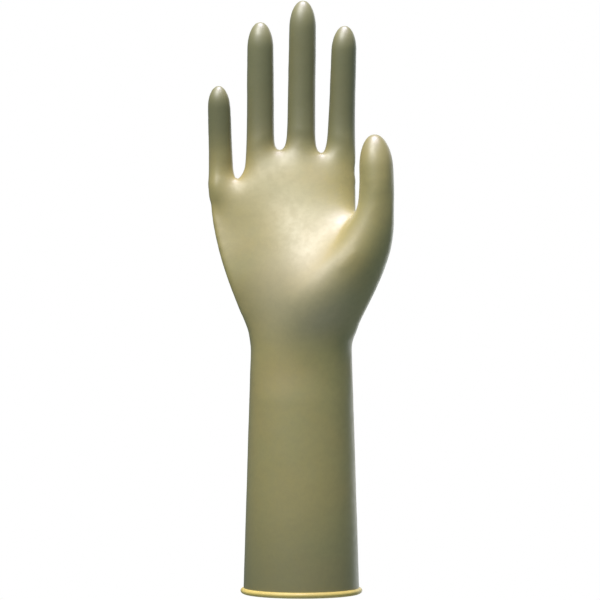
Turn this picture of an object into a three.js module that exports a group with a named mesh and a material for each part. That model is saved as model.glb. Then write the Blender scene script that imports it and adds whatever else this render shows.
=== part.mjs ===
// A right-hand radiation glove: one dipped rubber skin, hollow from its mouth to the fingertips,
// and the rolled bead that finishes the mouth. It is shown filled out, as it is when it is worn.
// Millimetres. The fingers point along +Z, the palm faces -Y and the thumb is at +X.
// The origin is the centre of the mouth, level with the bead's underside.

import * as THREE from "three";

// Lengths along the glove.
const CUFF_LENGTH = 146; // mouth to the narrowest place of the wrist
const PALM_LENGTH = 119; // wrist to the root of the middle finger

// Sections across the glove: width along X, depth along Y.
const MOUTH_WIDTH = 69.6;
const MOUTH_DEPTH = 56;
const WRIST_WIDTH = 60.6;
const WRIST_DEPTH = 41;
const PALM_WIDTH = 88.6; // across the roots of the four fingers
const PALM_DEPTH = 45; // heel of the hand, from the palm to the back

// The rubber and the bead.
const WALL = 1.2;
const BEAD_WIDTH = 4.7;
const BEAD_HEIGHT = 3.6;
const GROOVE_DEPTH = 2; // from the bead's top to the floor of the groove that holds the skin
const CLEARANCE = 0.3; // between the skin and the bead

// How far the surfaces of two limbs run into each other where they meet.
const WEB_BLEND = 9;
const THUMB_BLEND = 10;
const WEB_DROP = 8.5; // from the top of a web down to its ends on the palm and the back

// The hand between the wrist and the finger roots. rise is a share of PALM_LENGTH, left and right
// are shares of PALM_WIDTH, front and back are shares of PALM_DEPTH, and square is the exponent of
// the section's superellipse.
const PALM_SECTIONS = [
  { rise: 0.1, left: 0.358, right: 0.348, front: 0.6, back: 0.4, square: 2.15 },
  { rise: 0.2, left: 0.411, right: 0.352, front: 0.675, back: 0.367, square: 2.2 },
  { rise: 0.3, left: 0.465, right: 0.356, front: 0.67, back: 0.344, square: 2.3 },
  { rise: 0.4, left: 0.512, right: 0.36, front: 0.611, back: 0.333, square: 2.4 },
  { rise: 0.5, left: 0.552, right: 0.363, front: 0.522, back: 0.333, square: 2.5 },
  { rise: 0.6, left: 0.583, right: 0.365, front: 0.422, back: 0.34, square: 2.6 },
  { rise: 0.7, left: 0.607, right: 0.367, front: 0.322, back: 0.351, square: 2.6 },
  { rise: 0.8, left: 0.622, right: 0.367, front: 0.222, back: 0.36, square: 2.5 },
  { rise: 0.9, left: 0.628, right: 0.365, front: 0.133, back: 0.364, square: 2.35 },
  { rise: 1.0, left: 0.629, right: 0.364, front: 0.067, back: 0.356, square: 2.3 },
];

// The upper edge of the palm. across is a share of PALM_WIDTH, rise a share of PALM_LENGTH.
const PALM_TOP = [
  { across: -0.63, rise: 0.86 },
  { across: -0.445, rise: 0.87 },
  { across: -0.385, rise: 0.91 },
  { across: -0.29, rise: 0.95 },
  { across: -0.139, rise: 1 },
  { across: 0.131, rise: 0.992 },
  { across: 0.36, rise: 0.95 },
];
const PALM_TOP_DOME = 13; // height of the rounding over that edge

// Fingers, from the root to the tip, and their section at mid length.
const LITTLE_LENGTH = 56.3;
const RING_LENGTH = 82.5;
const MIDDLE_LENGTH = 90.4;
const INDEX_LENGTH = 77.3;
const FINGER_WIDTH = 16.4;
const FINGER_DEPTH = 15;

// The four fingers. wide and thick are shares of FINGER_WIDTH and FINGER_DEPTH, and flare is the
// root's width as a share of the finger's. root is a share of PALM_LENGTH. stand and lean place
// the root and the tip across the palm as shares of PALM_WIDTH; set and curl place them behind
// the palm's middle as shares of PALM_DEPTH.
const FINGERS = [
  {
    length: LITTLE_LENGTH, wide: 0.848, thick: 0.853, flare: 1.08,
    root: 0.857, stand: -0.545, lean: -0.56, set: 0.12, curl: 0.08,
  },
  {
    length: RING_LENGTH, wide: 0.982, thick: 0.973, flare: 1.06,
    root: 0.958, stand: -0.279, lean: -0.277, set: 0.13, curl: 0.08,
  },
  {
    length: MIDDLE_LENGTH, wide: 1, thick: 1, flare: 1.06,
    root: 1, stand: -0.003, lean: 0.011, set: 0.135, curl: 0.08,
  },
  {
    length: INDEX_LENGTH, wide: 0.939, thick: 0.96, flare: 1.14,
    root: 0.983, stand: 0.268, lean: 0.293, set: 0.13, curl: 0.08,
  },
];

// Every finger's section between its root and its tip. along is a share of its length, flared is
// how much of its flare it has there, wide and thick are shares of its width and depth, and bent
// is how much of its curl it has there.
const FINGER_SECTIONS = [
  { along: -0.35, flared: 0.4, wide: 0.86, thick: 0.7, bent: 0 },
  { along: 0, flared: 1, wide: 1, thick: 1.08, bent: 0 },
  { along: 0.3, flared: 0.25, wide: 1, thick: 1.04, bent: 0.1 },
  { along: 0.6, flared: 0, wide: 1, thick: 0.98, bent: 0.42 },
  { along: 0.85, flared: 0, wide: 0.96, thick: 0.94, bent: 0.78 },
  { along: 1, flared: 0, wide: 0.93, thick: 0.9, bent: 1 },
];
const TIP_DOME = 0.9; // height of a fingertip's rounding, as a share of its width
const TIP_SQUARE = 2.2; // exponent of that rounding

// The thumb and the ball of the thumb under it.
const THUMB_LENGTH = 128; // wrist to thumb tip
const THUMB_WIDTH = 21;
const THUMB_DEPTH = 21.5;
const THUMB_REACH = 44.3; // glove axis to thumb axis, across the palm
const THUMB_FORWARD = 21; // glove axis to thumb axis, towards the palm side
const THUMB_CROTCH = 0.73; // where the thumb leaves the hand, as a share of PALM_LENGTH
// rise is a share of THUMB_LENGTH, reach and forward are shares of THUMB_REACH and THUMB_FORWARD,
// wide and thick are shares of THUMB_WIDTH and THUMB_DEPTH.
const THUMB_SECTIONS = [
  { rise: 0.02, reach: 0, forward: 0.1, wide: 2.6, thick: 1.5, square: 2.1 },
  { rise: 0.1, reach: 0.05, forward: 0.4, wide: 2.8, thick: 1.86, square: 2.1 },
  { rise: 0.19, reach: 0.14, forward: 0.6, wide: 3.08, thick: 2.02, square: 2.1 },
  { rise: 0.28, reach: 0.34, forward: 0.72, wide: 2.76, thick: 2.06, square: 2.1 },
  { rise: 0.375, reach: 0.6, forward: 0.8, wide: 2.16, thick: 1.98, square: 2.1 },
  { rise: 0.47, reach: 0.78, forward: 0.87, wide: 1.76, thick: 1.8, square: 2.1 },
  { rise: 0.56, reach: 0.9, forward: 0.93, wide: 1.4, thick: 1.54, square: 2.1 },
  { rise: 0.655, reach: 0.985, forward: 0.98, wide: 1.06, thick: 1.28, square: 2.1 },
  { rise: 0.75, reach: 1.005, forward: 1, wide: 0.985, thick: 1.08, square: 2.1 },
  { rise: 0.86, reach: 1, forward: 1.04, wide: 0.95, thick: 0.95, square: 2.1 },
  { rise: 1, reach: 0.98, forward: 1.08, wide: 0.9, thick: 0.88, square: 2.1 },
];
const THUMB_DOME = 0.95; // height of the thumb tip's rounding, as a share of its width
const THUMB_TURN = -55; // degrees from +X to the side of the thumb that faces away from the palm

// Mesh counts. A finger has FACE points on its front and its back, and WEB points on each side.
const FACE = 3;
const WEB = 5;
const ROUND = 2 * (FACE + WEB);
const CUFF_RINGS = 8;
const WRIST_RINGS = 7;
const KNUCKLE_RINGS = 3;
const SHAFT_RINGS = 7;
const EVENING_PASSES = 24;
const BEAD_STEPS = 80; // round the mouth
const BEAD_ARC_STEPS = 16; // round the bead's own section

const lerp = THREE.MathUtils.lerp;
const clamp = THREE.MathUtils.clamp;
const radians = THREE.MathUtils.degToRad;

// The value of one column of a table at a place along another, on a smooth curve through the
// rows: each span is a cubic with the slopes of its neighbours.
function column(rows, along, name, at) {
  const last = rows.length - 1;
  if (at <= rows[0][along]) return rows[0][name];
  if (at >= rows[last][along]) return rows[last][name];
  let i = 0;
  while (at > rows[i + 1][along]) i++;
  const slope = (k) => {
    const a = rows[Math.max(k - 1, 0)];
    const b = rows[Math.min(k + 1, last)];
    return (b[name] - a[name]) / (b[along] - a[along]);
  };
  const span = rows[i + 1][along] - rows[i][along];
  const t = (at - rows[i][along]) / span;
  return (
    (2 * t ** 3 - 3 * t ** 2 + 1) * rows[i][name] +
    (t ** 3 - 2 * t ** 2 + t) * span * slope(i) +
    (3 * t ** 2 - 2 * t ** 3) * rows[i + 1][name] +
    (t ** 3 - t ** 2) * span * slope(i + 1)
  );
}

// A limb is a stack of level sections. Each row has its height z, its centre x and y, its half
// width a, its half depth b and its exponent n.
function sectionAt(limb, z) {
  const section = {};
  for (const name of ["x", "y", "a", "b", "n"]) section[name] = column(limb.rows, "z", name, z);
  return section;
}

// The distance from a point to a limb, nearly: it is below zero inside the limb. Over the limb's
// shoulder its sections shrink to a dome.
function limbDistance(limb, p) {
  const s = sectionAt(limb, p.z);
  const across = Math.abs((p.x - s.x) / s.a);
  const through = Math.abs((p.y - s.y) / s.b);
  const round = (across ** s.n + through ** s.n) ** (1 / s.n);
  const up = Math.max(p.z - limb.shoulder(p.x), 0) / limb.dome;
  const reached = (round ** TIP_SQUARE + up ** TIP_SQUARE) ** (1 / TIP_SQUARE);
  return (reached - 1) * Math.min(s.a, s.b);
}

// The lesser of two distances, rounded over where they are nearly equal.
function blend(d, e, reach) {
  const near = Math.max(reach - Math.abs(d - e), 0) / reach;
  return Math.min(d, e) - (near ** 3 * reach) / 6;
}

const heightOf = (rise) => CUFF_LENGTH + rise * PALM_LENGTH;

// The cuff and the palm are one limb: a tapered tube up to the wrist, then the palm's sections.
const mouth = { z: 0, x: 0, y: 0, a: MOUTH_WIDTH / 2, b: MOUTH_DEPTH / 2, n: 2 };
const wrist = { z: CUFF_LENGTH, x: 0, y: 0, a: WRIST_WIDTH / 2, b: WRIST_DEPTH / 2, n: 2.1 };

function cuffSection(share) {
  const row = {};
  for (const name of Object.keys(mouth)) row[name] = lerp(mouth[name], wrist[name], share);
  return row;
}

const body = {
  rows: [mouth, cuffSection(1 / 3), cuffSection(2 / 3), cuffSection(0.9), wrist],
  shoulder: (x) => heightOf(column(PALM_TOP, "across", "rise", x / PALM_WIDTH)) - PALM_TOP_DOME,
  dome: PALM_TOP_DOME,
};
for (const row of PALM_SECTIONS) {
  body.rows.push({
    z: heightOf(row.rise),
    x: ((row.right - row.left) / 2) * PALM_WIDTH,
    y: ((row.back - row.front) / 2) * PALM_DEPTH,
    a: ((row.right + row.left) / 2) * PALM_WIDTH,
    b: ((row.back + row.front) / 2) * PALM_DEPTH,
    n: row.square,
  });
}

const fingers = FINGERS.map((finger) => {
  const root = heightOf(finger.root);
  const tip = root + finger.length;
  const dome = TIP_DOME * finger.wide * FINGER_WIDTH;
  const rows = FINGER_SECTIONS.map((row) => ({
    z: lerp(root, tip, row.along),
    x: lerp(finger.stand, finger.lean, Math.max(row.along, 0)) * PALM_WIDTH,
    y: lerp(finger.set, finger.curl, row.bent) * PALM_DEPTH,
    a: (row.wide * lerp(1, finger.flare, row.flared) * finger.wide * FINGER_WIDTH) / 2,
    b: (row.thick * finger.thick * FINGER_DEPTH) / 2,
    n: 2,
  }));
  return { rows, root, tip, dome, shoulder: () => tip - dome };
});

const thumbTip = CUFF_LENGTH + THUMB_LENGTH;
const thumb = {
  rows: THUMB_SECTIONS.map((row) => ({
    z: CUFF_LENGTH + row.rise * THUMB_LENGTH,
    x: row.reach * THUMB_REACH,
    y: -row.forward * THUMB_FORWARD,
    a: (row.wide * THUMB_WIDTH) / 2,
    b: (row.thick * THUMB_DEPTH) / 2,
    n: row.square,
  })),
  root: heightOf(THUMB_CROTCH),
  tip: thumbTip,
  dome: THUMB_DOME * THUMB_WIDTH,
  shoulder: () => thumbTip - THUMB_DOME * THUMB_WIDTH,
};

// A limb fades out between its root and its lowest section, so that it leaves no step on the palm.
function fading(limb, root, p) {
  const low = limb.rows[0].z;
  const fade = clamp((root - p.z) / (root - low), 0, 1);
  return limbDistance(limb, p) + fade ** 2 * WEB_BLEND * 1.5;
}

// The distance to the hand without its thumb, and to the whole glove.
function handDistance(p) {
  let d = limbDistance(body, p);
  for (const finger of fingers) {
    if (p.z > finger.rows[0].z) d = blend(d, fading(finger, finger.root, p), WEB_BLEND);
  }
  return d;
}

function gloveDistance(p) {
  const d = handDistance(p);
  if (p.z <= thumb.rows[0].z) return d;
  return blend(d, fading(thumb, thumb.rows[1].z, p), THUMB_BLEND);
}

function slopeOf(field, p) {
  const step = 0.05;
  const slope = new THREE.Vector3();
  for (let axis = 0; axis < 3; axis++) {
    const there = p.clone();
    const here = p.clone();
    there.setComponent(axis, p.getComponent(axis) + step);
    here.setComponent(axis, p.getComponent(axis) - step);
    slope.setComponent(axis, (field(there) - field(here)) / (2 * step));
  }
  return slope;
}

// The first place where a ray that starts inside comes out.
function castOut(field, from, towards) {
  const at = (t) => from.clone().addScaledVector(towards, t);
  let inside = 0;
  while (field(at(inside + 1)) < 0) inside++;
  let outside = inside + 1;
  for (let i = 0; i < 16; i++) {
    const middle = (inside + outside) / 2;
    if (field(at(middle)) < 0) inside = middle;
    else outside = middle;
  }
  return at(outside);
}

// The first place where a ray that starts outside goes in.
function castIn(field, from, towards) {
  return castOut((p) => -field(p), from, towards);
}

// Moves a point down the slope of the distance until it lies on the glove.
function settle(place, passes) {
  for (let i = 0; i < passes; i++) {
    const slope = slopeOf(gloveDistance, place);
    place.addScaledVector(slope, -gloveDistance(place) / slope.lengthSq());
  }
}

// The skin's outside is a mesh of four-sided faces: rings round the cuff and the palm, then rings
// round each finger and the thumb. Free points are evened out before the skin is used.
const points = [];
const freePoints = [];
const faces = [];

function addPoint(place, isFree) {
  points.push(place);
  if (isFree) freePoints.push(points.length - 1);
  return points.length - 1;
}

function addBand(lower, upper, isLeftOut = () => false) {
  lower.forEach((_, i) => {
    const next = (i + 1) % lower.length;
    if (!isLeftOut(i)) faces.push([lower[i], lower[next], upper[next], upper[i]]);
  });
}

// A point at one height on a limb, in the direction of an angle on the limb's section.
function pointOnLimb(field, limb, z, angle) {
  const s = sectionAt(limb, z);
  const towards = new THREE.Vector3(Math.cos(angle) * s.a, Math.sin(angle) * s.b, 0).normalize();
  return castOut(field, new THREE.Vector3(s.x, s.y, z), towards);
}

function levelRing(limb, z, angles, isFree) {
  return angles.map((angle) => addPoint(pointOnLimb(gloveDistance, limb, z, angle), isFree));
}

// Rings round the body start at the little finger's front and run past the thumb to the back.
const frontCount = FINGERS.length * (FACE + 1) - 1;
const bodyCount = 2 * (frontCount + WEB);
const bodyAngles = Array.from({ length: bodyCount }, (_, i) => {
  return radians(-90 + ((i - (frontCount - 1) / 2) * 360) / bodyCount);
});
const skinEdge = BEAD_HEIGHT - GROOVE_DEPTH + CLEARANCE;
const cuffTop = 0.96 * CUFF_LENGTH;
const bodyRings = [];
for (let j = 0; j < CUFF_RINGS; j++) {
  const z = lerp(skinEdge, cuffTop, j / (CUFF_RINGS - 1));
  bodyRings.push(levelRing(body, z, bodyAngles, false));
}
for (let j = 1; j <= WRIST_RINGS; j++) {
  const z = lerp(cuffTop, thumb.root - 0.7 * THUMB_BLEND, j / WRIST_RINGS);
  bodyRings.push(levelRing(body, z, bodyAngles, j > 1));
}

// The webs between neighbouring fingers, each a chain of points from the palm over to the back.
// Its middle point is the lowest place between the two fingers, and stays there.
const webs = [];
for (let k = 0; k + 1 < fingers.length; k++) {
  const left = sectionAt(fingers[k], fingers[k].root);
  const right = sectionAt(fingers[k + 1], fingers[k + 1].root);
  const x = (left.x + left.a + right.x - right.a) / 2;
  const y = (left.y + right.y) / 2;
  const above = Math.max(fingers[k].root, fingers[k + 1].root) + PALM_TOP_DOME;
  const down = new THREE.Vector3(0, 0, -1);
  const drop = (dy) => castIn(gloveDistance, new THREE.Vector3(x, y + dy, above), down);
  const top = drop(0);
  const side = (sign) => {
    const from = new THREE.Vector3(x, y + sign * PALM_DEPTH, top.z - WEB_DROP);
    return castIn(handDistance, from, new THREE.Vector3(0, -sign, 0));
  };
  const chain = [];
  for (let i = 0; i < WEB; i++) {
    const share = i / (WEB - 1);
    if (i === 0) chain.push(addPoint(side(-1), true));
    else if (i === WEB - 1) chain.push(addPoint(side(1), true));
    else if (share === 0.5) chain.push(addPoint(top, false));
    else chain.push(addPoint(drop(lerp(-WEB_DROP, WEB_DROP, share)), true));
  }
  webs.push(chain);
}

// The angles of a finger's points: its front, its right side, its back and its left side.
const roundAngles = Array.from({ length: ROUND }, (_, i) => {
  return radians(-90 + ((i - (FACE - 1) / 2) * 360) / ROUND);
});

// The ring under the fingers. It shares the ends of the webs.
const rootRing = new Array(bodyCount);
webs.forEach((chain, k) => {
  const i = k * (FACE + 1) + FACE;
  rootRing[i] = chain[0];
  rootRing[frontCount + WEB + frontCount - 1 - i] = chain[WEB - 1];
});
fingers.forEach((finger, k) => {
  const z = finger.root - WEB_DROP;
  for (let i = 0; i < FACE; i++) {
    const front = pointOnLimb(handDistance, finger, z, roundAngles[i]);
    const back = pointOnLimb(handDistance, finger, z, -roundAngles[i]);
    const at = k * (FACE + 1) + i;
    rootRing[at] = addPoint(front, true);
    rootRing[frontCount + WEB + frontCount - 1 - at] = addPoint(back, true);
  }
});
const little = fingers[0];
const index = fingers[fingers.length - 1];
for (let i = 0; i < WEB; i++) {
  const right = pointOnLimb(handDistance, index, index.root - WEB_DROP, roundAngles[FACE + i]);
  const left = pointOnLimb(handDistance, little, little.root - WEB_DROP, roundAngles[2 * FACE + WEB + i]);
  rootRing[frontCount + i] = addPoint(right, true);
  rootRing[2 * frontCount + WEB + i] = addPoint(left, true);
}

// The rings between the thumb and the fingers.
for (let j = 0; j < KNUCKLE_RINGS; j++) {
  const ring = bodyAngles.map((angle, i) => {
    const root = points[rootRing[i]];
    const z = lerp(thumb.root + 0.2 * THUMB_BLEND, root.z, j / KNUCKLE_RINGS);
    const s = sectionAt(body, z);
    const rootAngle = Math.atan2((root.y - s.y) / s.b, (root.x - s.x) / s.a);
    const turn = Math.atan2(Math.sin(rootAngle - angle), Math.cos(rootAngle - angle));
    return addPoint(pointOnLimb(handDistance, body, z, angle + (turn * (j + 1)) / (KNUCKLE_RINGS + 1)), true);
  });
  bodyRings.push(ring);
}
bodyRings.push(rootRing);

// The thumb leaves through a gap in the band over its root, between these two columns.
const thumbFirst = frontCount - FACE;
const thumbLast = frontCount + WEB - 1;
const underThumb = CUFF_RINGS + WRIST_RINGS - 1;
for (let j = 0; j + 1 < bodyRings.length; j++) {
  const isLeftOut = (i) => j === underThumb && i >= thumbFirst && i < thumbLast;
  addBand(bodyRings[j], bodyRings[j + 1], isLeftOut);
}

// A finger's last ring is closed by a grid of faces whose four corners lie on the diagonals.
function addTip(limb, ring) {
  const side = ROUND / 4;
  const corner = FACE + (WEB - 1) / 2 + side / 2;
  const at = (i) => ring[(i + ROUND) % ROUND];
  const first = corner - ROUND / 4 - side;
  const grid = [];
  const s = sectionAt(limb, limb.tip);
  for (let v = 0; v <= side; v++) {
    grid.push([]);
    for (let u = 0; u <= side; u++) {
      if (v === 0) grid[v].push(at(first + u));
      else if (u === side) grid[v].push(at(first + side + v));
      else if (v === side) grid[v].push(at(first + 3 * side - u));
      else if (u === 0) grid[v].push(at(first - v));
      else {
        const x = s.x + (u / side - 0.5) * s.a;
        const y = s.y + (v / side - 0.5) * s.b;
        const above = new THREE.Vector3(x, y, limb.tip + limb.dome);
        grid[v].push(addPoint(castIn(gloveDistance, above, new THREE.Vector3(0, 0, -1)), true));
      }
    }
  }
  for (let v = 0; v < side; v++) {
    for (let u = 0; u < side; u++) {
      faces.push([grid[v][u], grid[v][u + 1], grid[v + 1][u + 1], grid[v + 1][u]]);
    }
  }
}

// The rings of one finger or thumb, from the loop that it stands on to its tip.
function addDigit(limb, loop, angles, foot) {
  const shoulder = limb.shoulder();
  const heights = [];
  for (let j = 0; j < SHAFT_RINGS; j++) heights.push(lerp(foot, shoulder, (j + 0.4) / (SHAFT_RINGS - 0.6)));
  for (const angle of [26, 46]) heights.push(shoulder + Math.sin(radians(angle)) * limb.dome);
  let lower = loop;
  heights.forEach((z, j) => {
    const upper = levelRing(limb, z, angles, j < 2);
    addBand(lower, upper);
    lower = upper;
  });
  addTip(limb, lower);
}

fingers.forEach((finger, k) => {
  const from = k * (FACE + 1);
  const ahead = rootRing.slice(from, from + FACE);
  const behindFrom = frontCount + WEB + frontCount - FACE - from;
  const behind = rootRing.slice(behindFrom, behindFrom + FACE);
  const isFirst = k === 0;
  const isLast = k === fingers.length - 1;
  const right = isLast ? rootRing.slice(frontCount, frontCount + WEB) : webs[k];
  const left = isFirst ? rootRing.slice(2 * frontCount + WEB) : [...webs[k - 1]].reverse();
  const foot = Math.max(...[...right, ...left].map((i) => points[i].z));
  addDigit(finger, [...ahead, ...right, ...behind, ...left], roundAngles, foot);
});

const thumbLoop = [
  ...bodyRings[underThumb].slice(thumbFirst, thumbLast + 1),
  ...bodyRings[underThumb + 1].slice(thumbFirst, thumbLast + 1).reverse(),
];
const thumbAngles = Array.from({ length: ROUND }, (_, i) => {
  return radians(THUMB_TURN + ((i - (ROUND / 2 - 1) / 2) * 360) / ROUND);
});
addDigit(thumb, thumbLoop, thumbAngles, thumb.root + 0.3 * THUMB_BLEND);

// Each free point moves halfway to the middle of its neighbours, then back onto the glove.
const neighbours = points.map(() => new Set());
for (const face of faces) {
  face.forEach((i, k) => {
    const next = face[(k + 1) % face.length];
    neighbours[i].add(next);
    neighbours[next].add(i);
  });
}
for (const i of freePoints) settle(points[i], 4);
for (let pass = 0; pass < EVENING_PASSES; pass++) {
  const moved = freePoints.map((i) => {
    const middle = new THREE.Vector3();
    for (const j of neighbours[i]) middle.addScaledVector(points[j], 1 / neighbours[i].size);
    return points[i].clone().lerp(middle, 0.5);
  });
  freePoints.forEach((i, k) => {
    settle(moved[k], 2);
    points[i].copy(moved[k]);
  });
}

// A solid from its corner points and its flat faces.
function solid(name, corners, sides, color) {
  const geometry = new THREE.BufferGeometry();
  const triangles = [];
  for (const [a, b, c, d] of sides) {
    if (corners[a].distanceTo(corners[c]) <= corners[b].distanceTo(corners[d])) {
      triangles.push(a, b, c, a, c, d);
    } else {
      triangles.push(a, b, d, b, c, d);
    }
  }
  const places = corners.flatMap((corner) => corner.toArray());
  geometry.setAttribute("position", new THREE.Float32BufferAttribute(places, 3));
  geometry.setIndex(triangles);
  geometry.computeVertexNormals();
  const mesh = new THREE.Mesh(geometry, new THREE.MeshStandardMaterial({ color }));
  mesh.name = name;
  return mesh;
}

// The skin: the outside, the inside one wall deeper, and the rim that joins them at the mouth.
function makeSkin() {
  const inside = points.map((place) => {
    const inward = slopeOf(gloveDistance, place).normalize();
    return place.clone().addScaledVector(inward, -WALL);
  });
  const outerRim = bodyRings[0];
  for (const i of outerRim) inside[i].z = points[i].z;
  const count = points.length;
  const innerFaces = faces.map((face) => face.map((i) => i + count).reverse());
  const rim = outerRim.map((i, k) => {
    const next = outerRim[(k + 1) % outerRim.length];
    return [next, i, i + count, next + count];
  });
  return solid("glove_shell", [...points, ...inside], [...faces, ...innerFaces, ...rim], 0x96916a);
}

// The bead: an oval section with a groove in its top, carried round the middle of the skin.
function makeBead() {
  const half = WALL / 2 + CLEARANCE;
  const mid = BEAD_HEIGHT / 2;
  const lip = Math.asin(half / (BEAD_WIDTH / 2));
  const section = [
    [-half, BEAD_HEIGHT - GROOVE_DEPTH],
    [half, BEAD_HEIGHT - GROOVE_DEPTH],
  ];
  for (let i = 0; i <= BEAD_ARC_STEPS; i++) {
    const angle = lerp(lip, 2 * Math.PI - lip, i / BEAD_ARC_STEPS);
    section.push([(Math.sin(angle) * BEAD_WIDTH) / 2, mid + Math.cos(angle) * mid]);
  }
  const corners = [];
  const sides = [];
  const size = section.length;
  for (let j = 0; j < BEAD_STEPS; j++) {
    const angle = (j * 2 * Math.PI) / BEAD_STEPS;
    const s = sectionAt(body, 0);
    const centre = new THREE.Vector3(Math.cos(angle) * s.a, Math.sin(angle) * s.b, 0);
    const outward = new THREE.Vector3(Math.cos(angle) / s.a, Math.sin(angle) / s.b, 0).normalize();
    section.forEach(([out, up], i) => {
      const place = centre.clone().addScaledVector(outward, out - WALL / 2);
      corners.push(place.setZ(up));
      const next = ((j + 1) % BEAD_STEPS) * size;
      const above = (i + 1) % size;
      sides.push([j * size + i, j * size + above, next + above, next + i]);
    });
  }
  return solid("cuff_bead", corners, sides, 0xbcb187);
}

const glove = new THREE.Group();
glove.name = "lead_lined_glove";
glove.add(makeSkin(), makeBead());

export default glove;
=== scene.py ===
"""A right-hand radiation glove of lead-loaded rubber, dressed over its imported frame.

The skin is one surface: level sections of the palm, the fingers and the thumb are melted into each
other, and a grid of faces is settled onto the result. The rolled bead is a profile carried round the
mouth. Everything is in metres, in the frame's own axes: fingers along +Z, palm at -Y, thumb at +X.
"""

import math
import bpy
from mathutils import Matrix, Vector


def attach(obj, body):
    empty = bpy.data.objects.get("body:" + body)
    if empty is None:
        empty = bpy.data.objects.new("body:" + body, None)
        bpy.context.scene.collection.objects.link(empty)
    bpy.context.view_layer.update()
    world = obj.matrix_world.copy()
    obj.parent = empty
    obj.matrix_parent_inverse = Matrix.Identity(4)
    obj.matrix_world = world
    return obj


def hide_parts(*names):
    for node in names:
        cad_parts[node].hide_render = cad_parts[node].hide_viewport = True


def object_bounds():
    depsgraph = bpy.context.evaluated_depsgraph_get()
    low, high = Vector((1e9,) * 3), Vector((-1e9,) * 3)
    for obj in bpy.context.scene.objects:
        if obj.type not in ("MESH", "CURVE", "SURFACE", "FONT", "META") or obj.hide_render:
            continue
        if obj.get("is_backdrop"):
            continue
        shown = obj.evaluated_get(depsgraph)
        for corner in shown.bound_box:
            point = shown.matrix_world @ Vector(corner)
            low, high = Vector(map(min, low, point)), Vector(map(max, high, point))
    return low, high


bl_info = {
    "name": "Lead Lined Glove",
    "version": (1, 0, 0),
    "blender": (4, 5, 0),
    "location": "3D Viewport > Sidebar > Glove",
    "description": "Builds a filled-out gauntlet glove with its rolled bead, and a pale stage for it",
    "category": "Add Mesh",
}

import bpy
import numpy as np
from bpy.props import FloatProperty, FloatVectorProperty, PointerProperty
from mathutils import Euler, Vector

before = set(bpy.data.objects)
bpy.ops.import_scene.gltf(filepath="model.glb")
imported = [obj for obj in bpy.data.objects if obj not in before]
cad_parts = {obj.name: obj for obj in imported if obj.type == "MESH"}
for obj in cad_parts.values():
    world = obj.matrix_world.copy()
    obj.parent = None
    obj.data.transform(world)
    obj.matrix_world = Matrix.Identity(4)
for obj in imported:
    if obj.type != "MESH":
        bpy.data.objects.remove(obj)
cad_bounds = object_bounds()

# The hand between the wrist and the finger roots. Columns: height as a share of the palm's length,
# left and right as shares of its width, front and back as shares of its depth, how much the front
# falls away to the left, how far it leans to the right, and the exponent of the section's
# superellipse.
PALM_SECTIONS = np.array([
    [0.05, 0.348, 0.345, 0.47, 0.43, 0.15, 0.0, 2.12],
    [0.1, 0.361, 0.348, 0.49, 0.4, 0.3, 0.0, 2.12],
    [0.15, 0.386, 0.35, 0.52, 0.383, 0.5, 0.0, 2.12],
    [0.2, 0.415, 0.352, 0.56, 0.367, 0.65, 0.05, 2.12],
    [0.3, 0.468, 0.356, 0.595, 0.344, 0.85, 0.18, 2.15],
    [0.4, 0.516, 0.36, 0.55, 0.333, 0.95, 0.32, 2.25],
    [0.5, 0.556, 0.363, 0.46, 0.333, 1.0, 0.4, 2.3],
    [0.6, 0.587, 0.365, 0.35, 0.34, 0.92, 0.36, 2.35],
    [0.7, 0.608, 0.367, 0.24, 0.351, 0.7, 0.22, 2.4],
    [0.8, 0.618, 0.367, 0.15, 0.36, 0.4, 0.1, 2.4],
    [0.9, 0.622, 0.365, 0.08, 0.364, 0.15, 0.05, 2.35],
    [1.0, 0.625, 0.364, 0.02, 0.36, 0.0, 0.0, 2.3],
])

# The palm's upper edge. Columns: place across it as a share of its width, height as a share of its
# length.
PALM_TOP = np.array([
    [-0.63, 0.86],
    [-0.445, 0.87],
    [-0.385, 0.91],
    [-0.29, 0.95],
    [-0.139, 1.0],
    [0.131, 0.992],
    [0.36, 0.95],
])

# One row per finger, from the little one to the index. Columns: width and depth as shares of the
# finger's width and depth, root width as a share of its own, height of the root as a share of the
# palm's length, root and tip across the palm as shares of its width, root and tip behind the
# palm's middle as shares of its depth.
FINGERS = [
    ("little", 0.848, 0.853, 1.08, 0.857, -0.545, -0.56, 0.17, -0.05),
    ("ring", 0.982, 0.973, 1.06, 0.958, -0.279, -0.277, 0.18, -0.05),
    ("middle", 1.0, 1.0, 1.06, 1.0, -0.003, 0.011, 0.185, -0.05),
    ("index", 0.939, 0.96, 1.14, 0.983, 0.268, 0.293, 0.18, -0.05),
]

# A finger's sections. Columns: place along it, share of the root's flare, width and depth as shares
# of its own, how far it is set back as a share of the palm's depth, and share of its curl.
FINGER_SECTIONS = np.array([
    [-0.35, 0.4, 0.86, 0.8, -0.2, 0.0],
    [-0.17, 0.8, 0.95, 1.0, -0.09, 0.0],
    [0.0, 1.0, 1.0, 1.08, -0.025, 0.0],
    [0.15, 0.6, 1.0, 1.06, 0.0, 0.01],
    [0.3, 0.25, 1.0, 1.03, 0.0, 0.08],
    [0.45, 0.05, 1.0, 1.0, 0.0, 0.26],
    [0.6, 0.0, 1.0, 0.97, 0.0, 0.49],
    [0.8, 0.0, 0.975, 0.94, 0.0, 0.81],
    [0.9, 0.0, 0.955, 0.89, 0.0, 0.92],
    [1.0, 0.0, 0.94, 0.8, 0.0, 0.96],
])

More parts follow.
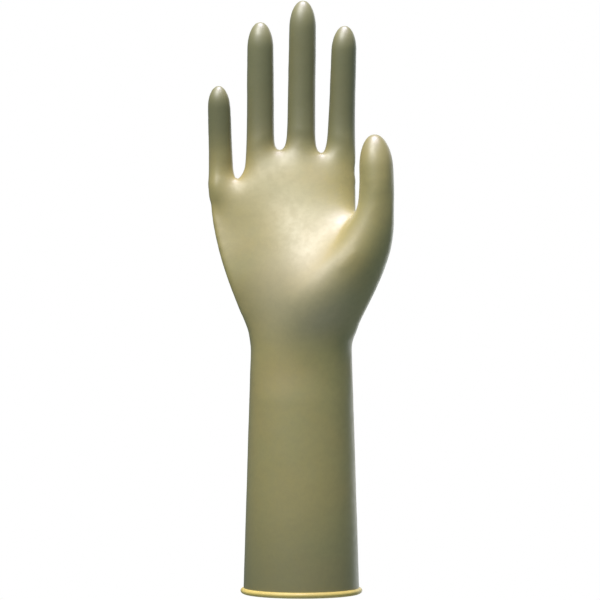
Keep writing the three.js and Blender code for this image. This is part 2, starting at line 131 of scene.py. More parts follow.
# The thumb and its ball. Columns: height as a share of the thumb's length, reach and forward as
# shares of its own, width and depth as shares of its own, and how far the front leans to the right.
THUMB_SECTIONS = np.array([
    [-0.02, 0.1, 0.0, 1.9, 1.2, -0.3],
    [0.1, 0.24, 0.34, 2.0, 1.58, -0.35],
    [0.19, 0.34, 0.55, 2.21, 1.82, -0.4],
    [0.28, 0.47, 0.69, 2.21, 1.88, -0.35],
    [0.375, 0.63, 0.77, 2.03, 1.84, -0.23],
    [0.47, 0.79, 0.83, 1.71, 1.72, -0.07],
    [0.56, 0.9, 0.9, 1.4, 1.5, 0.0],
    [0.655, 0.985, 0.99, 1.06, 1.28, 0.0],
    [0.75, 1.005, 1.0, 0.985, 1.08, 0.0],
    [0.86, 1.0, 1.02, 0.955, 0.95, 0.0],
    [1.0, 0.98, 1.0, 0.91, 0.84, 0.0],
])
THUMB_EXPONENT = 2.1  # of the superellipse of the thumb's sections
TIP_DOME = 0.98  # height of a fingertip's rounding, as a share of its width
THUMB_DOME = 0.95  # the same for the thumb
DOME_EXPONENT = 2.1  # how square the tips are: 2 is an ellipse
THUMB_CROTCH = 0.73  # height of the thumb's root as a share of the palm's length

CELL = 0.0017  # size of the cubes that the skin's net is drawn in
EVENING_PASSES = 12  # how often the net's points are evened out
BEAD_STEPS = 240, 28  # points round the mouth and round the bead's section

# How the palm's front bridges its hollows: how often it is smoothed, and the ends of the smooth
# steps that bound it.
BRIDGE_PASSES = 130
BRIDGE_FACING = 0.35, 0.8  # how much the skin faces forward
BRIDGE_LEFT = 0.72, 0.93  # towards the left edge, as shares of the palm's half width
BRIDGE_ROOTS = -0.006, 0.014  # over the finger roots and the thumb's root, in metres
BRIDGE_WRIST = -0.031, -0.011  # over the wrist, in metres
BRIDGE_THUMB = 0.63, 0.81  # towards the thumb, as shares of its reach

# Where the painted highlight and the painted shade lie on the rubber, in metres.
HIGHLIGHT_MIDDLE = -0.004, -0.025, 0.182  # middle of the painted highlight, a paler colour at the heel of the hand
HIGHLIGHT_RADII = 0.01, 0.046  # where it starts to fade and where it ends
FINGER_SHADE_HEIGHTS = 0.25, 0.285  # heights where the painted shade on the fingers starts and is full
MOUTH_SHADE_HEIGHTS = 0.0, 0.075  # heights where the painted shade towards the mouth is full and ends

FLECK = 0.1, 0.095, 0.05, 1.0  # colour of the dark flecks
GRAIN_STRENGTH = 0.35  # of the bump that the grain makes
GRAIN_HEIGHT = 0.0003  # of the grain, in metres

# The soft lights, which all look at the target from the same distance. Columns: name, azimuth and
# elevation in degrees, where azimuth 0 is the palm's side, size in metres, power in watts and tint.
LIGHTS = (
    ("key", -27, 47, 0.5, 10.4, (1, 1, 1)),
    ("top", 0, 85, 0.5, 20.5, (0.81, 0.77, 0.96)),
    ("back", 155, 5, 1.4, 8, (1, 1, 1)),
)
LIGHT_TARGET = 0, 0, 0.2
LIGHT_DISTANCE = 1.1
FILL_COLOUR = 0.6, 0.83, 0.92, 1  # of the light from all round
FILL_STRENGTH = 0.25

FLOOR_RADIUS = 0.6
FLOOR_LEVEL = -0.8  # so low that its reflected light leaves the glove's underside dark
FLOOR_CORNERS = 96

CAMERA_PLACE = -0.0008, -1.5, 0.176
CAMERA_LENS = 150  # millimetres, as the sensor's width is
CAMERA_SENSOR = 36


def length(name, value, text):
    """A length in metres that can be set in the panel."""
    return FloatProperty(name=name, description=text, default=value, min=0.0, unit="LENGTH", precision=4)


def colour(name, value, text):
    """A colour that can be set in the panel."""
    return FloatVectorProperty(
        name=name, description=text, default=value, size=4, subtype="COLOR", min=0.0, max=1.0
    )


class GloveSizes(bpy.types.PropertyGroup):
    """The glove's own sizes."""

    cuff_length: length("Cuff length", 0.146, "From the mouth to the narrowest place of the wrist")
    palm_length: length("Palm length", 0.119, "From the wrist to the root of the middle finger")
    mouth_width: length("Mouth width", 0.0696, "Width of the cuff at its mouth")
    mouth_depth: length("Mouth depth", 0.056, "Depth of the cuff at its mouth")
    wrist_width: length("Wrist width", 0.0606, "Width of the wrist")
    wrist_depth: length("Wrist depth", 0.041, "Depth of the wrist")
    palm_width: length("Palm width", 0.0886, "Width across the roots of the four fingers")
    palm_depth: length("Palm depth", 0.045, "Depth at the heel of the hand")
    finger_width: length("Finger width", 0.0164, "Width of the middle finger at mid length")
    finger_depth: length("Finger depth", 0.015, "Depth of the middle finger at mid length")
    little_length: length("Little finger", 0.0563, "Root to tip of the little finger")
    ring_length: length("Ring finger", 0.0825, "Root to tip of the ring finger")
    middle_length: length("Middle finger", 0.0904, "Root to tip of the middle finger")
    index_length: length("Index finger", 0.0773, "Root to tip of the index finger")
    thumb_length: length("Thumb length", 0.128, "From the wrist to the tip of the thumb")
    thumb_width: length("Thumb width", 0.021, "Width of the thumb")
    thumb_depth: length("Thumb depth", 0.0215, "Depth of the thumb")
    thumb_reach: length("Thumb reach", 0.0443, "From the glove's axis across to the thumb's")
    thumb_forward: length("Thumb forward", 0.021, "From the glove's axis forward to the thumb's")
    web_blend: length("Web blend", 0.009, "How far the fingers and the palm run into each other")
    thumb_blend: length("Thumb blend", 0.01, "How far the thumb and the palm run into each other")
    top_dome: length("Palm top", 0.013, "Height of the rounding between the finger roots")
    wall: length("Wall", 0.0012, "Thickness of the rubber")
    bead_width: length("Bead width", 0.0047, "Width of the rolled bead")
    bead_height: length("Bead height", 0.0036, "Height of the rolled bead")
    unevenness: length("Unevenness", 0.00012, "How far the dipped rubber strays from its form")


class GloveColours(bpy.types.PropertyGroup):
    """The colours of the rubber, of its painted highlight and painted shade, and of the stage."""

    olive: colour("Olive", (0.375, 0.307, 0.108, 1.0), "Main colour of the skin")
    brown: colour("Brown", (0.415, 0.315, 0.11, 1.0), "Warmer patches of the skin")
    sage: colour("Sage", (0.325, 0.3, 0.115, 1.0), "Greener patches of the skin")
    cream: colour("Cream", (0.82, 0.62, 0.17, 1.0), "The rolled bead and the inside")
    # A painted highlight: the paler colour over the heel of the hand.
    painted_highlight: colour("Painted highlight", (0.56, 0.48, 0.29, 1.0), "Paler rubber over the heel of the hand")
    # Painted shade: the darker colour on the fingers and towards the mouth.
    painted_shade: colour("Painted shade", (0.14, 0.145, 0.072, 1.0), "Darker rubber on the fingers and at the mouth")
    pale: colour("Pale", (0.86, 0.86, 0.86, 1.0), "The floor")


def smooth_columns(table, at):
    """The columns of a table at places along its first column.

    Between rows i and i+1, with t running from 0 to 1, each column is the cubic
    (2t^3-3t^2+1) y0 + (t^3-2t^2+t) h m0 + (3t^2-2t^3) y1 + (t^3-t^2) h m1, where h is the span and
    m0 and m1 are the slopes between the rows on either side.
    """
    x, y = table[:, 0], table[:, 1:]
    before = np.maximum(np.arange(len(x)) - 1, 0)
    after = np.minimum(np.arange(len(x)) + 1, len(x) - 1)
    slope = (y[after] - y[before]) / (x[after] - x[before])[:, None]
    at = np.clip(at, x[0], x[-1])
    i = np.clip(np.searchsorted(x, at, side="right") - 1, 0, len(x) - 2)
    span = (x[i + 1] - x[i])[:, None]
    t = (at - x[i])[:, None] / span
    return (
        (2 * t**3 - 3 * t**2 + 1) * y[i]
        + (t**3 - 2 * t**2 + t) * span * slope[i]
        + (3 * t**2 - 2 * t**3) * y[i + 1]
        + (t**3 - t**2) * span * slope[i + 1]
    )


class Limb:
    """A stack of level sections, closed by a dome over its shoulder.

    Each row of the stack is a height, a centre x and y, a half width, a half depth, how much the
    front falls away to the left, how far it leans to the right, and the exponent of a superellipse.
    """

    def __init__(self, stack, dome, shoulder, root=None):
        self.stack = stack
        self.dome = dome
        self.shoulder = shoulder
        self.root = root

    def sections(self, z):
        """The stack's columns after the first, at heights z."""
        return smooth_columns(self.stack, z).T

    def distance(self, p):
        """Nearly the distance to the limb, below zero inside it.

        With s = dx/a and t = dy/b, the front half divides t by 1 + fall (0.6 s - 0.4 sqrt(s^2 +
        0.04)), at least 0.3, and then takes lean t^2 from s, with t kept below 1.2. With r =
        (|s|^n + |t|^n)^(1/n), and u the height over the shoulder as a share of the dome, the
        distance is ((r^m + u^m)^(1/m) - 1) times the lesser half size.
        """
        x, y, a, b, fall, lean, n = self.sections(p[:, 2])
        s = (p[:, 0] - x) / a
        t = (p[:, 1] - y) / b
        t = np.where(t < 0, t / np.maximum(1 + fall * (0.6 * s - 0.4 * np.hypot(s, 0.2)), 0.3), t)
        s = s - lean * np.clip(-t, 0, 1.2) ** 2
        r = (np.abs(s) ** n + np.abs(t) ** n) ** (1 / n)
        u = np.maximum(p[:, 2] - self.shoulder(p[:, 0]), 0) / self.dome
        m = DOME_EXPONENT
        return ((r**m + u**m) ** (1 / m) - 1) * np.minimum(a, b)


def melt(d, e, reach):
    """The lesser of two distances, less k^3 reach / 6 where k = 1 - |d - e| / reach is positive."""
    k = np.maximum(reach - np.abs(d - e), 0) / reach
    return np.minimum(d, e) - k**3 * reach / 6


class Hand:
    """The whole glove's outside as one distance, from the sizes in the panel."""

    def __init__(self, s):
        self.sizes = s
        mouth = np.array([0, 0, 0, s.mouth_width / 2, s.mouth_depth / 2, 0, 0, 2.0])
        wrist = np.array([s.cuff_length, 0, 0, s.wrist_width / 2, s.wrist_depth / 2, 0, 0, 2.1])
        cuff = [mouth + (wrist - mouth) * t for t in (0, 1 / 3, 2 / 3, 0.9, 1)]
        rise, left, right, front, back, fall, lean, square = PALM_SECTIONS.T
        palm = np.column_stack([
            self.up(rise),
            (right - left) / 2 * s.palm_width,
            (back - front) / 2 * s.palm_depth,
            (right + left) / 2 * s.palm_width,
            (back + front) / 2 * s.palm_depth,
            fall,
            lean,
            square,
        ])
        stack = np.vstack([cuff, palm])
        self.body = Limb(stack, s.top_dome, lambda x: self.palm_top(x) - s.top_dome)
        self.fingers = [self.finger(*row) for row in FINGERS]
        rise, reach, forward, wide, thick, lean = THUMB_SECTIONS.T
        none = np.zeros(len(rise))
        dome = THUMB_DOME * s.thumb_width
        tip = s.cuff_length + s.thumb_length
        self.thumb = Limb(
            np.column_stack([
                s.cuff_length + rise * s.thumb_length,
                reach * s.thumb_reach,
                -forward * s.thumb_forward,
                wide * s.thumb_width / 2,
                thick * s.thumb_depth / 2,
                none,
                lean,
                none + THUMB_EXPONENT,
            ]),
            dome,
            lambda x: tip - dome,
            self.up(THUMB_CROTCH),
        )

    def up(self, share):
        """The height of a share of the palm's length over the wrist."""
        return self.sizes.cuff_length + share * self.sizes.palm_length

    def palm_top(self, x):
        """The height of the palm's upper edge at places across it."""
        return self.up(smooth_columns(PALM_TOP, x / self.sizes.palm_width)[:, 0])

    def finger(self, name, wide, thick, flare, root, root_x, tip_x, root_y, tip_y):
        """One finger. Across the palm its sections follow a straight line from the root's place to
        the tip's, and forward they go from one to the other by their share of the curl."""
        s = self.sizes
        span = getattr(s, name + "_length")
        along, flared, across, through, dip, bent = FINGER_SECTIONS.T
        none = np.zeros(len(along))
        dome = TIP_DOME * wide * s.finger_width
        tip = self.up(root) + span
        return Limb(
            np.column_stack([
                self.up(root) + along * span,
                (root_x + (tip_x - root_x) * np.maximum(along, 0)) * s.palm_width,
                (root_y + (tip_y - root_y) * bent + dip) * s.palm_depth,
                across * (1 + (flare - 1) * flared) * wide * s.finger_width / 2,
                through * thick * s.finger_depth / 2,
                none,
                none,
                none + 2.0,
            ]),
            dome,
            lambda x: tip - dome,
            self.up(root),
        )

    def faded(self, limb, root, p):
        """A limb's distance, plus 1.5 blends times f^2, where f grows from 0 at its root to 1 at its
        lowest section."""
        low = limb.stack[0, 0]
        f = np.clip((root - p[:, 2]) / (root - low), 0, 1)
        return limb.distance(p) + f**2 * self.sizes.web_blend * 1.5

    def without_thumb(self, p):
        """The palm's distance with every finger melted into it."""
        d = self.body.distance(p)
        for limb in self.fingers:
            e = melt(d, self.faded(limb, limb.root, p), self.sizes.web_blend)
            d = np.where(p[:, 2] > limb.stack[0, 0], e, d)
        return d

    def distance(self, p):
        """The distance of the hand with the thumb melted into it."""
        d = self.without_thumb(p)
        e = melt(d, self.faded(self.thumb, self.thumb.stack[1, 0], p), self.sizes.thumb_blend)
        return np.where(p[:, 2] > self.thumb.stack[0, 0], e, d)

    def room(self, margin):
        """The corners of a box that holds every limb, with a margin."""
        rows = np.vstack([limb.stack for limb in (self.body, self.thumb, *self.fingers)])
        centre, half = rows[:, [1, 2, 0]], rows[:, [3, 4, 4]] * [1, 1, 0]
        return (centre - half).min(0) - margin, (centre + half).max(0) + margin

    def slope(self, p, step=5e-5):
        """The distance's gradient, from its values half a tenth of a millimetre to each side."""
        sides = np.eye(3) * step
        return np.stack([(self.distance(p + d) - self.distance(p - d)) / (2 * step) for d in sides], 1)

    def settle(self, p, passes, longest=0.0015):
        """Newton's steps p - d g / |g|^2 towards the place where the distance d is zero, each one
        cut to the longest that is allowed."""
        for _ in range(passes):
            g = self.slope(p)
            step = self.distance(p)[:, None] * g / np.maximum((g * g).sum(1, keepdims=True), 1e-6)
            size = np.linalg.norm(step, axis=1, keepdims=True)
            p = p - step * np.minimum(1, longest / np.maximum(size, 1e-9))
        return p


def net(field, low, high, cell):
    """The surface where a distance is zero, as a net of four-sided faces.

    Space is cut into cubes. Each cube whose corners lie on both sides of the surface gives one
    point, its middle, and each edge that crosses the surface gives the face between the four cubes
    round it. The lowest layer of cubes copies the corners of the next, so that the net ends in a
    clean ring there.
    """
    axes = [np.arange(a, b + cell, cell) for a, b in zip(low, high)]
    corners = np.stack(np.meshgrid(*axes, indexing="ij"), -1)
    values = field(corners.reshape(-1, 3)).reshape(corners.shape[:3])
    values[:, :, 0] = values[:, :, 1]
    inside = values < 0
    total = sum(
        inside[i:len(axes[0]) - 1 + i, j:len(axes[1]) - 1 + j, k:len(axes[2]) - 1 + k].astype(int)
        for i in (0, 1) for j in (0, 1) for k in (0, 1)
    )
    crossed = (total > 0) & (total < 8)
    number = np.full(crossed.shape, -1)
    number[crossed] = np.arange(crossed.sum())
    places = corners[:-1, :-1, :-1][crossed] + cell / 2
    faces = []
    for axis, (one, two) in enumerate(((1, 2), (2, 0), (0, 1))):
        ahead = np.roll(inside, -1, axis)
        for way in (False, True):
            at = np.argwhere((inside == way) & (ahead != way))
            at = at[(at[:, one] > 0) & (at[:, two] > 0) & (at[:, axis] < inside.shape[axis] - 1)]
            steps = np.zeros((4, 3), int)
            steps[[0, 3], one] = -1
            steps[[0, 1], two] = -1
            face = np.stack([number[tuple((at + step).T)] for step in steps], 1)
            faces.append(face if way else face[:, ::-1])
    return places, np.vstack(faces)


def even_out(hand, places, edges, rim, passes):
    """Moves each point halfway to the mean of its neighbours and settles it, repeatedly. Points on
    the rim keep their height and follow only the rim."""
    pairs = np.vstack([edges, edges[:, ::-1]])
    pairs = pairs[~rim[pairs[:, 0]] | rim[pairs[:, 1]]]
    count = np.bincount(pairs[:, 0], minlength=len(places))[:, None]
    level = places[rim, 2]
    places = hand.settle(places, 6)
    for _ in range(passes):
        total = np.zeros_like(places)
        np.add.at(total, pairs[:, 0], places[pairs[:, 1]])
        places = hand.settle((places + total / count) / 2, 1)
        places[rim, 2] = level
    places = hand.settle(places, 2)
    places[rim, 2] = level
    return places


def smoothstep(v, low, high):
    """t^2 (3 - 2t), where t runs from 0 at low to 1 at high."""
    t = np.clip((v - low) / (high - low), 0, 1)
    return t * t * (3 - 2 * t)


def bridge_hollows(hand, places, edges):
    """Lets the rubber of the palm's front span the form's hollows: each pass moves a point towards
    the mean of its neighbours by half its share. The share is one where the skin faces forward,
    and nothing at the sides, on the fingers, on the thumb and on the cuff."""
    s = hand.sizes
    g = hand.slope(places)
    x, z = places[:, 0], places[:, 2]
    middle, _, half, *_ = hand.body.sections(z)
    over_roots = z - hand.palm_top(x)
    over_crotch = z - hand.up(THUMB_CROTCH)
    share = smoothstep(-g[:, 1] / np.linalg.norm(g, axis=1), *BRIDGE_FACING)
    share *= 1 - smoothstep((middle - x) / half, *BRIDGE_LEFT)
    share *= 1 - smoothstep(over_roots, *BRIDGE_ROOTS)
    share *= smoothstep(z - s.cuff_length, *BRIDGE_WRIST)
    share *= 1 - smoothstep(x / s.thumb_reach, *BRIDGE_THUMB) * smoothstep(over_crotch, *BRIDGE_ROOTS)
    pairs = np.vstack([edges, edges[:, ::-1]])
    count = np.bincount(pairs[:, 0], minlength=len(places))[:, None]
    for _ in range(BRIDGE_PASSES):
        total = np.zeros_like(places)
        np.add.at(total, pairs[:, 0], places[pairs[:, 1]])
        places = places + (total / count - places) * share[:, None] / 2
    return places


def slow_waves(p, seed):
    """A smooth unevenness from -1 to 1: the mean of eight sine waves in seeded directions, with
    wavelengths from 14 to 60 mm."""
    rng = np.random.default_rng(seed)
    total = np.zeros(len(p))
    for _ in range(8):
        way = rng.normal(size=3)
        way *= 2 * math.pi / (np.linalg.norm(way) * rng.uniform(0.014, 0.06))
        total += np.sin(p @ way + rng.uniform(0, 2 * math.pi))
    return total / 8


def new_object(name, places, faces):
    """A smooth mesh object at the origin, from its points and its faces."""
    mesh = bpy.data.meshes.new(name)
    mesh.from_pydata(np.asarray(places).tolist(), [], np.asarray(faces).tolist())
    mesh.update()
    mesh.shade_smooth()
    obj = bpy.data.objects.new(name, mesh)
    bpy.context.scene.collection.objects.link(obj)
    return obj


def modifier(obj, name, kind, **values):
    """Adds a modifier to an object and sets its values."""
    m = obj.modifiers.new(name, kind)
    for key, value in values.items():
        setattr(m, key, value)
    return m


def mesh_arrays(mesh):
    """The mesh's points, and its edges as pairs of their numbers."""
    places = np.empty(len(mesh.vertices) * 3)
    mesh.vertices.foreach_get("co", places)
    edges = np.empty(len(mesh.edges) * 2, np.int32)
    mesh.edges.foreach_get("vertices", edges)
    return places.reshape(-1, 3), edges.reshape(-1, 2)


def put_places(mesh, places):
    """Gives the mesh's points new places."""
    mesh.vertices.foreach_set("co", places.ravel())
    mesh.update()


def rubber_texture():
    """The group that every rubber here uses, with the colour, the height and the roughness of a
    dipped surface. Its main colour is drawn to the warm and the green one where two slow noises are
    high, to a paler colour near the heel of the hand, which is a painted highlight, to a darker colour
    on the fingers above their roots and towards the mouth, which is painted shade, and a little to
    that of the flecks where a fine noise is high."""
    name = "Dipped Rubber"
    if name in bpy.data.node_groups:
        return bpy.data.node_groups[name]
    group = bpy.data.node_groups.new(name, "ShaderNodeTree")
    face = group.interface
    for label, kind, default in (
        ("Main", "NodeSocketColor", (0.4, 0.4, 0.2, 1)),
        ("Warm", "NodeSocketColor", (0.4, 0.35, 0.2, 1)),
        ("Green", "NodeSocketColor", (0.3, 0.35, 0.2, 1)),
        ("Palm Color", "NodeSocketColor", (0.5, 0.5, 0.3, 1)),
        ("Palm Share", "NodeSocketFloat", 0.0),
        ("Finger Color", "NodeSocketColor", (0.2, 0.2, 0.1, 1)),
        ("Finger Share", "NodeSocketFloat", 0.0),
        ("Patch Scale", "NodeSocketFloat", 18.0),
        ("Grain Scale", "NodeSocketFloat", 900.0),
        ("Patchiness", "NodeSocketFloat", 0.6),
        ("Roughness", "NodeSocketFloat", 0.5),
    ):
        socket = face.new_socket(label, in_out="INPUT", socket_type=kind)
        socket.default_value = default
    face.new_socket("Color", in_out="OUTPUT", socket_type="NodeSocketColor")
    face.new_socket("Roughness", in_out="OUTPUT", socket_type="NodeSocketFloat")
    face.new_socket("Height", in_out="OUTPUT", socket_type="NodeSocketFloat")

    nodes, links = group.nodes, group.links
    given = nodes.new("NodeGroupInput")
    out = nodes.new("NodeGroupOutput")
    coordinates = nodes.new("ShaderNodeTexCoord")

    def noise(scale, detail, roughness, offset):
        """A noise over the glove's own coordinates, from a place that an offset gives."""
        shift = nodes.new("ShaderNodeMapping")
        shift.inputs["Location"].default_value = offset
        links.new(coordinates.outputs["Object"], shift.inputs["Vector"])
        node = nodes.new("ShaderNodeTexNoise")
        node.inputs["Detail"].default_value = detail
        node.inputs["Roughness"].default_value = roughness
        links.new(shift.outputs["Vector"], node.inputs["Vector"])
        if isinstance(scale, float):
            node.inputs["Scale"].default_value = scale
        else:
            links.new(scale, node.inputs["Scale"])
        return node.outputs["Fac"]

    def ranged(value, low, high, to_low, to_high):
        """A smooth step of a value: to_low up to low, and to_high from high on."""
        node = nodes.new("ShaderNodeMapRange")
        node.interpolation_type = "SMOOTHSTEP"
        links.new(value, node.inputs["Value"])
        for key, number in (("From Min", low), ("From Max", high), ("To Min", to_low), ("To Max", to_high)):
            node.inputs[key].default_value = number
        return node.outputs["Result"]

    def maths(operation, a, b):
        """The result of a sum on two values, each a number or a socket."""
        node = nodes.new("ShaderNodeMath")
        node.operation = operation
        for socket, value in zip(node.inputs, (a, b)):
            if isinstance(value, float):
                socket.default_value = value
            else:
                links.new(value, socket)
        return node.outputs["Value"]

    def mixed(factor, a, b):
        """The colour that lies between a and b by a factor, each a colour or a socket."""
        node = nodes.new("ShaderNodeMix")
        node.data_type = "RGBA"
        colours = [s for s in node.inputs if s.type == "RGBA"]
        links.new(factor, node.inputs[0])
        for socket, value in zip(colours, (a, b)):
            if isinstance(value, tuple):
                socket.default_value = value
            else:
                links.new(value, socket)
        return next(s for s in node.outputs if s.type == "RGBA")

    patch_scale = given.outputs["Patch Scale"]
    grain_scale = given.outputs["Grain Scale"]
    warm_patches = ranged(noise(patch_scale, 3.0, 0.55, (0.0, 0.0, 0.0)), 0.42, 0.66, 0.0, 1.0)
    green_patches = ranged(noise(patch_scale, 3.0, 0.6, (3.1, 1.7, 0.4)), 0.42, 0.68, 0.0, 1.0)
    patchiness = given.outputs["Patchiness"]
    base = mixed(maths("MULTIPLY", warm_patches, patchiness), given.outputs["Main"], given.outputs["Warm"])
    base = mixed(maths("MULTIPLY", green_patches, patchiness), base, given.outputs["Green"])
    # Painted highlight: a paler colour drawn in near the heel of the hand.
    to_middle = nodes.new("ShaderNodeVectorMath")
    to_middle.operation = "DISTANCE"
    to_middle.inputs[1].default_value = HIGHLIGHT_MIDDLE
    links.new(coordinates.outputs["Object"], to_middle.inputs[0])
    painted_highlight_share = ranged(to_middle.outputs["Value"], *HIGHLIGHT_RADII, 1.0, 0.0)
    painted_highlight_share = maths("MULTIPLY", painted_highlight_share, given.outputs["Palm Share"])
    base = mixed(painted_highlight_share, base, given.outputs["Palm Color"])
    # Painted shade: a darker colour drawn in over the fingers and towards the mouth.
    axes = nodes.new("ShaderNodeSeparateXYZ")
    links.new(coordinates.outputs["Object"], axes.inputs["Vector"])
    finger_shade = ranged(axes.outputs["Z"], *FINGER_SHADE_HEIGHTS, 0.0, 1.0)
    # Painted shade on the cuff, darkest at the mouth.
    mouth_shade = ranged(axes.outputs["Z"], *MOUTH_SHADE_HEIGHTS, 0.7, 0.0)
    painted_shade_share = maths("MULTIPLY", maths("ADD", finger_shade, mouth_shade), given.outputs["Finger Share"])
    base = mixed(painted_shade_share, base, given.outputs["Finger Color"])
    flecks = noise(220.0, 4.0, 0.65, (0.3, 0.9, 0.2))
    base = mixed(ranged(flecks, 0.35, 0.65, 0.0, 0.08), base, FLECK)
    links.new(base, out.inputs["Color"])

    grain = noise(grain_scale, 5.0, 0.6, (0.0, 0.0, 0.0))
    ripple = noise(95.0, 2.0, 0.5, (1.3, 0.2, 0.7))
    links.new(maths("ADD", maths("MULTIPLY", grain, 0.25), ripple), out.inputs["Height"])
    change = ranged(flecks, 0.3, 0.7, -0.05, 0.06)
    links.new(maths("ADD", change, given.outputs["Roughness"]), out.inputs["Roughness"])
    return group


def tones(main, colours):
    """The inputs for a rubber of one main colour with the glove's own patches."""
    return {"Main": main, "Warm": colours.brown, "Green": colours.sage}


def rubber(name, values, **constants):
    """A satin rubber: the group's colour, roughness and height in a Principled BSDF. The values go
    to the group's inputs and the constants to the shader's."""
    material = bpy.data.materials.new(name)
    material.use_nodes = True
    nodes, links = material.node_tree.nodes, material.node_tree.links
    shader = nodes["Principled BSDF"]
    texture = nodes.new("ShaderNodeGroup")
    texture.node_tree = rubber_texture()
    for key, value in values.items():
        texture.inputs[key].default_value = value
    bump = nodes.new("ShaderNodeBump")
    bump.inputs["Strength"].default_value = GRAIN_STRENGTH
    bump.inputs["Distance"].default_value = GRAIN_HEIGHT
    links.new(texture.outputs["Height"], bump.inputs["Height"])
    links.new(texture.outputs["Color"], shader.inputs["Base Color"])
    links.new(texture.outputs["Roughness"], shader.inputs["Roughness"])
    links.new(bump.outputs["Normal"], shader.inputs["Normal"])
    for key, value in constants.items():
        shader.inputs[key.replace("_", " ")].default_value = value
    return material


class GLOVE_OT_skin(bpy.types.Operator):
    """Builds the rubber skin from the mouth to the fingertips, with its inside"""

    bl_idname = "glove.skin"
    bl_label = "Build the skin"

    def execute(self, context):
        sizes, colours = context.scene.glove_sizes, context.scene.glove_colours
        hand = Hand(sizes)
        edge = sizes.bead_height / 2
        low, high = hand.room(4 * CELL)
        low[2] = edge - CELL / 2
        skin = new_object("glove_skin", *net(hand.distance, low, high, CELL))
        places, edges = mesh_arrays(skin.data)
        rim = places[:, 2] < edge + CELL / 4
        places = even_out(hand, places, edges, rim, EVENING_PASSES)
        outward = hand.slope(places)
        outward /= np.linalg.norm(outward, axis=1, keepdims=True)
        waves = slow_waves(places, 4) * sizes.unevenness * ~rim
        places = bridge_hollows(hand, places, edges)
        put_places(skin.data, places + outward * waves[:, None])
        values = {
            # Painted highlight over the heel of the hand.
            "Palm Color": colours.painted_highlight,
            "Palm Share": 0.58,
            # Painted shade over the fingers and towards the mouth.
            "Finger Color": colours.painted_shade,
            "Finger Share": 0.7,
            "Patchiness": 0.45,
            "Roughness": 0.5,
        }
        gloss = {"Specular_IOR_Level": 0.9, "Coat_Weight": 0.5, "Coat_Roughness": 0.42}
        olive = rubber("olive_rubber", {**tones(colours.olive, colours), **values}, **gloss)
        values = {"Patchiness": 0.25, "Roughness": 0.6}
        cream = rubber("inner_rubber", {**tones(colours.cream, colours), **values})
        skin.data.materials.append(olive)
        skin.data.materials.append(cream)
        modifier(
            skin, "Wall", "SOLIDIFY", thickness=sizes.wall, offset=-1, material_offset=1,
            material_offset_rim=1,
        )
        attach(skin, "root")
        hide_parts("glove_shell")
        return {"FINISHED"}


class GLOVE_OT_bead(bpy.types.Operator):
    """Builds the rolled bead round the mouth"""

    bl_idname = "glove.bead"
    bl_label = "Build the bead"

    def execute(self, context):
        sizes, colours = context.scene.glove_sizes, context.scene.glove_colours
        around, across = BEAD_STEPS
        u = np.arange(around) * 2 * math.pi / around
        v = np.arange(across) * 2 * math.pi / across
        a, b = sizes.mouth_width / 2, sizes.mouth_depth / 2
        # The bead's middle follows the mouth's ellipse, half a wall inside it. Its section is an
        # oval that swells and shrinks by up to 5% of its width round the mouth.
        centre = np.stack([a * np.cos(u), b * np.sin(u), np.zeros(around)], 1)
        outward = np.stack([np.cos(u) / a, np.sin(u) / b, np.zeros(around)], 1)
        outward /= np.linalg.norm(outward, axis=1, keepdims=True)
        centre -= outward * sizes.wall / 2
        swell = 1 + 0.03 * np.sin(5 * u + 0.7) + 0.02 * np.sin(11 * u)
        out = np.sin(v)[None] * sizes.bead_width / 2 * swell[:, None]
        up = sizes.bead_height / 2 * (1 + np.cos(v))[None] * np.ones(around)[:, None]
        places = centre[:, None] + outward[:, None] * out[..., None]
        places[..., 2] = up
        number = np.arange(around * across).reshape(around, across)
        there = np.roll(number, -1, 0)
        faces = np.stack([number, np.roll(number, -1, 1), np.roll(there, -1, 1), there], -1)
        bead = new_object("rolled_bead", places.reshape(-1, 3), faces.reshape(-1, 4))
        values = {"Patchiness": 0.3, "Roughness": 0.45}
        bead.data.materials.append(rubber("cream_rubber", {**tones(colours.cream, colours), **values}))
        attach(bead, "root")
        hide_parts("cuff_bead")
        return {"FINISHED"}


def soft_light(name, azimuth, elevation, size, power, tint):
    """A square area light that looks at the middle of the glove from its row in the table."""
    lamp = bpy.data.lights.new(name, "AREA")
    lamp.size = size
    lamp.energy = power
    lamp.color = tint
    obj = bpy.data.objects.new(name, lamp)
    bpy.context.scene.collection.objects.link(obj)
    turn = Euler((math.radians(90 - elevation), 0, math.radians(azimuth)))
    obj.location = Vector(LIGHT_TARGET) + turn.to_matrix() @ Vector((0, 0, LIGHT_DISTANCE))
    obj.rotation_euler = turn
    obj.visible_camera = False


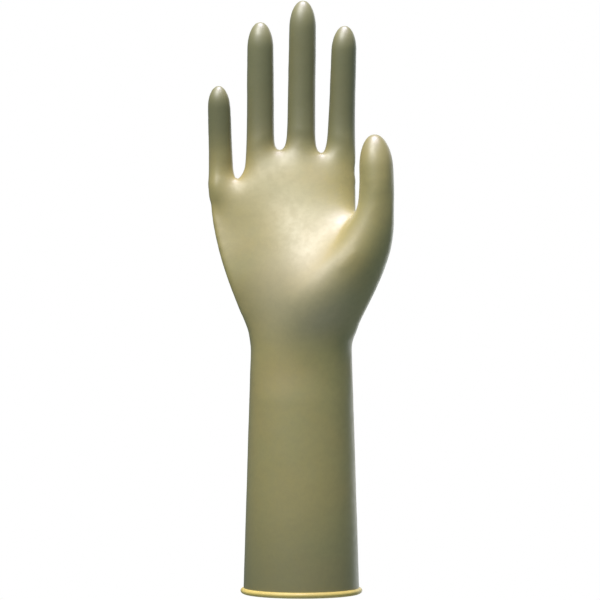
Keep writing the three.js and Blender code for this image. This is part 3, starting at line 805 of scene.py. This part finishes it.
class GLOVE_OT_stage(bpy.types.Operator):
    """Builds the pale floor, the soft studio light and the camera"""

    bl_idname = "glove.stage"
    bl_label = "Build the stage"

    def execute(self, context):
        scene, colours = context.scene, context.scene.glove_colours
        u = np.arange(FLOOR_CORNERS) * 2 * math.pi / FLOOR_CORNERS
        level = np.full(FLOOR_CORNERS, FLOOR_LEVEL)
        rim = np.stack([FLOOR_RADIUS * np.cos(u), FLOOR_RADIUS * np.sin(u), level], 1)
        floor = new_object("floor", rim, [list(range(FLOOR_CORNERS))])
        floor_paint = bpy.data.materials.new("floor_paint")
        floor_paint.use_nodes = True
        shader = floor_paint.node_tree.nodes["Principled BSDF"]
        shader.inputs["Base Color"].default_value = colours.pale
        shader.inputs["Roughness"].default_value = 0.8
        floor.data.materials.append(floor_paint)
        floor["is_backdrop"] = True

        for row in LIGHTS:
            soft_light(*row)

        # The camera sees a white background, and the glove gets a dimmer, cooler fill light.
        world = bpy.data.worlds.new("studio")
        world.use_nodes = True
        nodes, links = world.node_tree.nodes, world.node_tree.links
        nodes.clear()
        seen = nodes.new("ShaderNodeBackground")
        seen.inputs["Color"].default_value = (1, 1, 1, 1)
        seen.inputs["Strength"].default_value = 1.0
        around = nodes.new("ShaderNodeBackground")
        around.inputs["Color"].default_value = FILL_COLOUR
        around.inputs["Strength"].default_value = FILL_STRENGTH
        ray = nodes.new("ShaderNodeLightPath")
        mix = nodes.new("ShaderNodeMixShader")
        out = nodes.new("ShaderNodeOutputWorld")
        links.new(ray.outputs["Is Camera Ray"], mix.inputs[0])
        links.new(around.outputs[0], mix.inputs[1])
        links.new(seen.outputs[0], mix.inputs[2])
        links.new(mix.outputs[0], out.inputs["Surface"])
        scene.world = world
        scene.view_settings.view_transform = "Standard"

        lens = bpy.data.cameras.new("camera")
        lens.sensor_width = CAMERA_SENSOR
        lens.lens = CAMERA_LENS
        lens.clip_end = 20
        camera = bpy.data.objects.new("camera", lens)
        camera.location = CAMERA_PLACE
        camera.rotation_euler = (math.pi / 2, 0, 0)
        scene.collection.objects.link(camera)
        scene.camera = camera
        return {"FINISHED"}


class GLOVE_PT_panel(bpy.types.Panel):
    """The glove's sizes, its colours and the steps that build it"""

    bl_idname = "GLOVE_PT_panel"
    bl_label = "Lead Lined Glove"
    bl_space_type = "VIEW_3D"
    bl_region_type = "UI"
    bl_category = "Glove"

    def draw(self, context):
        layout = self.layout
        for step in STEPS:
            layout.operator(step.bl_idname)
        for group in (context.scene.glove_sizes, context.scene.glove_colours):
            box = layout.box()
            for name in group.bl_rna.properties.keys():
                if name not in ("rna_type", "name"):
                    box.prop(group, name)


STEPS = (GLOVE_OT_skin, GLOVE_OT_bead, GLOVE_OT_stage)
CLASSES = (GloveSizes, GloveColours, *STEPS, GLOVE_PT_panel)


def register():
    """Registers the classes and hangs the settings on the scene."""
    for item in CLASSES:
        bpy.utils.register_class(item)
    bpy.types.Scene.glove_sizes = PointerProperty(type=GloveSizes)
    bpy.types.Scene.glove_colours = PointerProperty(type=GloveColours)


def unregister():
    """Takes the settings and the classes away again."""
    del bpy.types.Scene.glove_colours
    del bpy.types.Scene.glove_sizes
    for item in reversed(CLASSES):
        bpy.utils.unregister_class(item)


def main():
    """Builds the glove and its stage."""
    register()
    bpy.ops.glove.skin()
    bpy.ops.glove.bead()
    bpy.ops.glove.stage()
    boxes = {"cad": cad_bounds, "visual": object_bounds()}
    boxes = {key: [[float(v) for v in corner] for corner in box] for key, box in boxes.items()}


if __name__ == "__main__":
    main()
